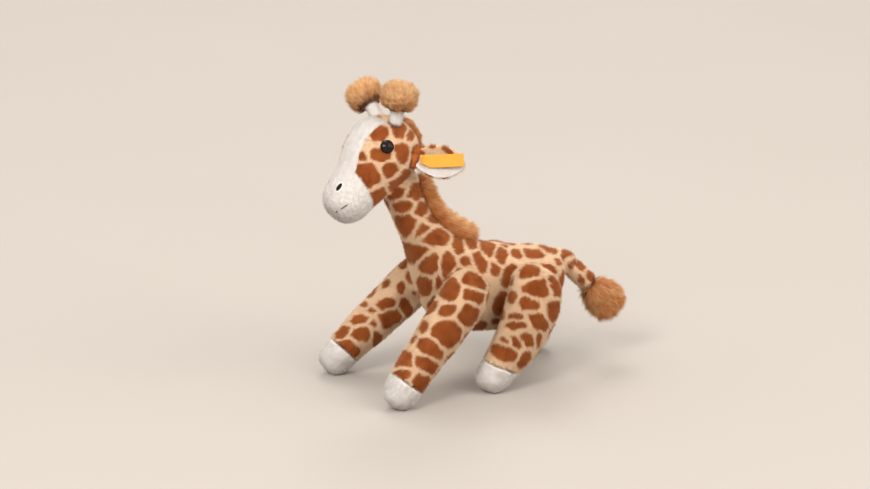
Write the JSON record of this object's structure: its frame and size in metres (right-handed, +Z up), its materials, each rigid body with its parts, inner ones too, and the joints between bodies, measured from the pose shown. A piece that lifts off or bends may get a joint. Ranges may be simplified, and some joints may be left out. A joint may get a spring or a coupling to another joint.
{
  "type": "plush giraffe",
  "caption": "Floppy standing plush giraffe with a spotted coat, white muzzle and hooves, tufted horns, mane, tasselled tail and bean-weighted legs.",
  "frame": {"origin": "middle of the whole toy's footprint, on the floor that its hooves stand on", "axes": "+Z up, the toy looks along -X, its left side is -Y"},
  "size_m": [0.2642, 0.1302, 0.25],
  "materials": {
    "spotted_plush": "short pile plush, cream with tawny patches",
    "white_plush": "short pile white plush",
    "long_fur": "long pile ginger fur",
    "fibre_fill": "loose fibre",
    "pellets": "bag of small pellets",
    "eye": "polished",
    "washer": "moulded",
    "embroidery": "satin stitch thread",
    "label_tape": "woven tape"
  },
  "bodies": {
    "torso": {"body_skin_left": "spotted_plush", "body_skin_right": "spotted_plush", "trunk_stuffing": "fibre_fill", "neck_stuffing": "fibre_fill", "neck_mane": "long_fur"},
    "neck_core": {"neck_core_stuffing": "fibre_fill"},
    "head": {"head_skin_left": "spotted_plush", "head_skin_right": "spotted_plush", "muzzle_skin": "white_plush", "head_stuffing": "fibre_fill", "head_mane": "long_fur", "eye_left": "eye", "eye_right": "eye", "eye_washer_left": "washer", "eye_washer_right": "washer", "nostril_stitch_left": "embroidery", "nostril_stitch_right": "embroidery", "mouth_stitch": "embroidery"},
    "left_horn": {"horn_left": "white_plush", "horn_tuft_left": "long_fur"},
    "right_horn": {"horn_right": "white_plush", "horn_tuft_right": "long_fur"},
    "left_ear": {"ear_back_left": "spotted_plush", "ear_lining_left": "white_plush", "ear_label_tack": "label_tape"},
    "right_ear": {"ear_back_right": "spotted_plush", "ear_lining_right": "white_plush"},
    "label": {"ear_label": "label_tape"},
    "front_left_leg": {"leg_skin_front_left": "spotted_plush", "leg_stuffing_front_left": "fibre_fill", "hoof_skin_front_left": "white_plush", "hoof_pellets_front_left": "pellets"},
    "front_right_leg": {"leg_skin_front_right": "spotted_plush", "leg_stuffing_front_right": "fibre_fill", "hoof_skin_front_right": "white_plush", "hoof_pellets_front_right": "pellets"},
    "hind_left_leg": {"leg_skin_hind_left": "spotted_plush", "leg_stuffing_hind_left": "fibre_fill", "hoof_skin_hind_left": "white_plush", "hoof_pellets_hind_left": "pellets"},
    "hind_right_leg": {"leg_skin_hind_right": "spotted_plush", "leg_stuffing_hind_right": "fibre_fill", "hoof_skin_hind_right": "white_plush", "hoof_pellets_hind_right": "pellets"},
    "tail": {"tail_skin": "spotted_plush", "tail_stuffing": "fibre_fill", "tail_tassel": "long_fur"}
  },
  "joints": [
    {"name": "head_turn", "type": "hinge", "parent": "torso", "child": "neck_core", "pos_m": [-0.06489, 0, 0.165], "axis": [-0.342, 0, 0.9397], "range_deg": [-30, 30]},
    {"name": "head_nod", "type": "hinge", "parent": "neck_core", "child": "head", "pos_m": [-0.06489, 0, 0.165], "axis": [0.1632, -0.9848, 0.0594], "range_deg": [-12, 18]},
    {"name": "horn_bend_left", "type": "hinge", "parent": "head", "child": "left_horn", "pos_m": [-0.07313, -0.01231, 0.22198], "axis": [-0.1589, 0.9666, 0.201], "range_deg": [-10, 10], "stiffness_Nm_per_rad": 0.05},
    {"name": "horn_bend_right", "type": "hinge", "parent": "head", "child": "right_horn", "pos_m": [-0.07775, 0.01558, 0.2203], "axis": [-0.1199, 0.7043, -0.6997], "range_deg": [-10, 10], "stiffness_Nm_per_rad": 0.05},
    {"name": "ear_flap_left", "type": "hinge", "parent": "head", "child": "left_ear", "pos_m": [-0.06084, -0.01863, 0.19194], "axis": [0.29, 0.2416, 0.926], "range_deg": [-20, 20], "stiffness_Nm_per_rad": 0.02},
    {"name": "ear_flap_right", "type": "hinge", "parent": "head", "child": "right_ear", "pos_m": [-0.06757, 0.02196, 0.18949], "axis": [0.3342, -0.0255, 0.9421], "range_deg": [-20, 20], "stiffness_Nm_per_rad": 0.02},
    {"name": "label_flap", "type": "hinge", "parent": "left_ear", "child": "label", "pos_m": [-0.05861, -0.02604, 0.19047], "axis": [-0.29, -0.2416, -0.926], "range_deg": [0, 35], "stiffness_Nm_per_rad": 0.002},
    {"name": "front_left_hip", "type": "hinge", "parent": "torso", "child": "front_left_leg", "pos_m": [-0.02793, -0.043, 0.08501], "axis": [0, 1, 0], "range_deg": [-12, 50]},
    {"name": "front_right_hip", "type": "hinge", "parent": "torso", "child": "front_right_leg", "pos_m": [-0.03193, 0.043, 0.07701], "axis": [0, 1, 0], "range_deg": [-12, 50]},
    {"name": "hind_left_hip", "type": "hinge", "parent": "torso", "child": "hind_left_leg", "pos_m": [0.03005, -0.044, 0.0848], "axis": [0, 1, 0], "range_deg": [-70, 5]},
    {"name": "hind_right_hip", "type": "hinge", "parent": "torso", "child": "hind_right_leg", "pos_m": [0.02605, 0.044, 0.0778], "axis": [0, 1, 0], "range_deg": [-35, 40]},
    {"name": "tail_lift", "type": "hinge", "parent": "torso", "child": "tail", "pos_m": [0.08087, 0, 0.08639], "axis": [0, -1, 0], "range_deg": [-20, 40]}
  ]
}
